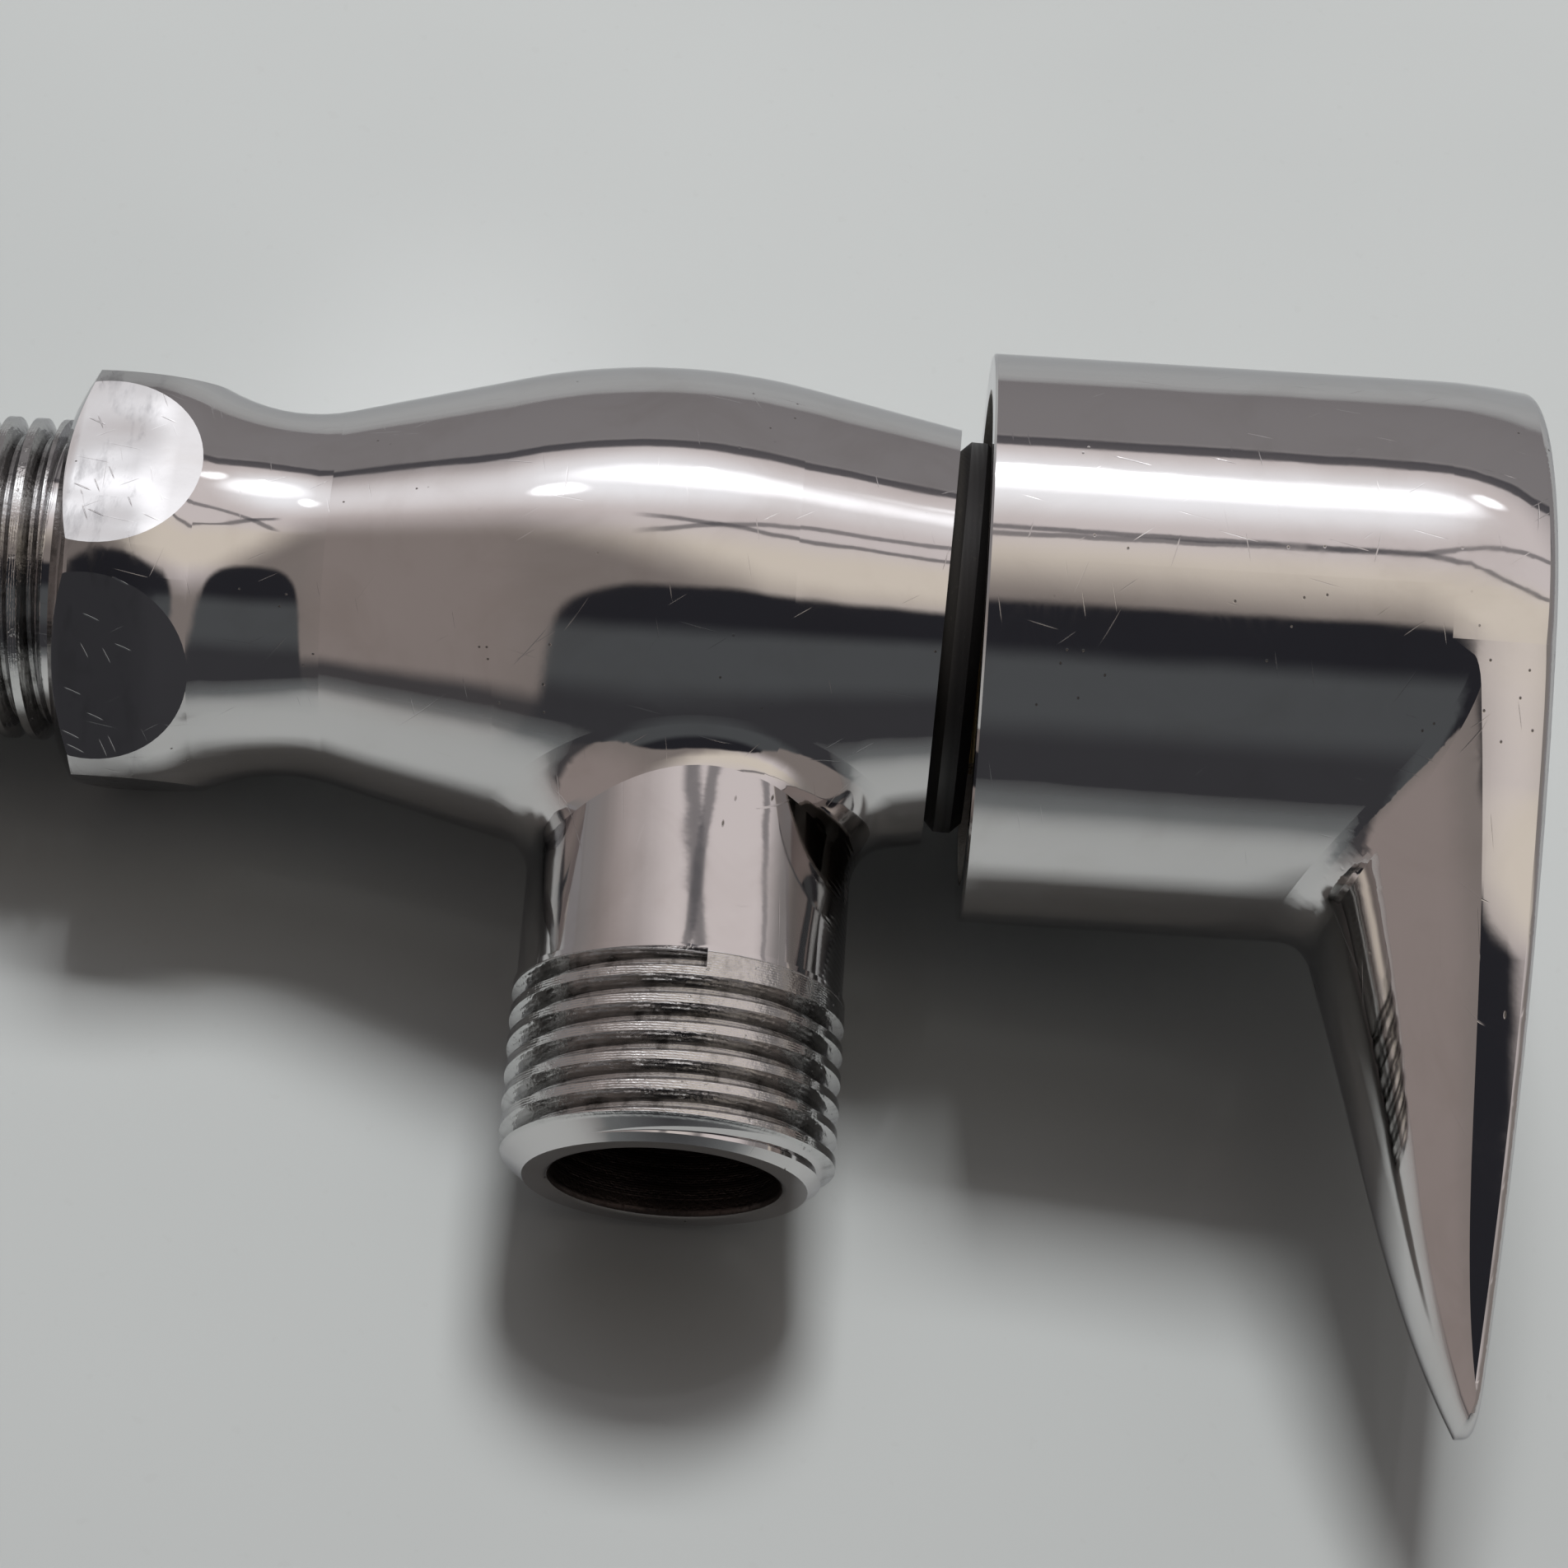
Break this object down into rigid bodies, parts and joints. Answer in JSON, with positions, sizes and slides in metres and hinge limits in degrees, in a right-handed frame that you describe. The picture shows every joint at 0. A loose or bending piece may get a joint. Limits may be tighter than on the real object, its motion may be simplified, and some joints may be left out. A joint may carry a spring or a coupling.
{
  "type": "angle valve",
  "caption": "Chromed angle valve with male threads at right angles, a wrench hexagon, a rounded belly and a quarter-turn lever handle on a ceramic headwork.",
  "frame": {"origin": "on the inlet's axis, at the end of the inlet thread beside the wrench hexagon", "axes": "+X along the inlet and the spindle, towards the handle; -Z along the outlet; the lever hangs down"},
  "size_m": [0.1079, 0.037, 0.0694],
  "materials": {
    "polished_chrome": "polished",
    "brass": "satin",
    "black_rubber": "matte",
    "black_plastic": "satin",
    "white_plastic": "satin",
    "ceramic": "polished",
    "steel": "satin"
  },
  "bodies": {
    "valve": {"valve_body": "polished_chrome", "bonnet": "brass", "bonnet_seal": "black_rubber", "seat_seal": "black_rubber", "seat_spacer": "white_plastic", "fixed_disc": "ceramic", "top_washer": "steel", "dust_ring": "black_plastic"},
    "turning": {"handle": "polished_chrome", "spline_bush": "white_plastic", "handle_screw": "steel", "lock_washer": "steel", "index_cap": "polished_chrome", "spindle": "brass", "o_ring_inner": "black_rubber", "o_ring_outer": "black_rubber", "circlip": "steel", "shoulder_washer": "white_plastic", "driver": "white_plastic", "moving_disc": "ceramic"}
  },
  "joints": [
    {"name": "handle_turn", "type": "hinge", "parent": "valve", "child": "turning", "pos_m": [0.062, 0, 0], "axis": [1, 0, 0], "range_deg": [0, 90]}
  ]
}
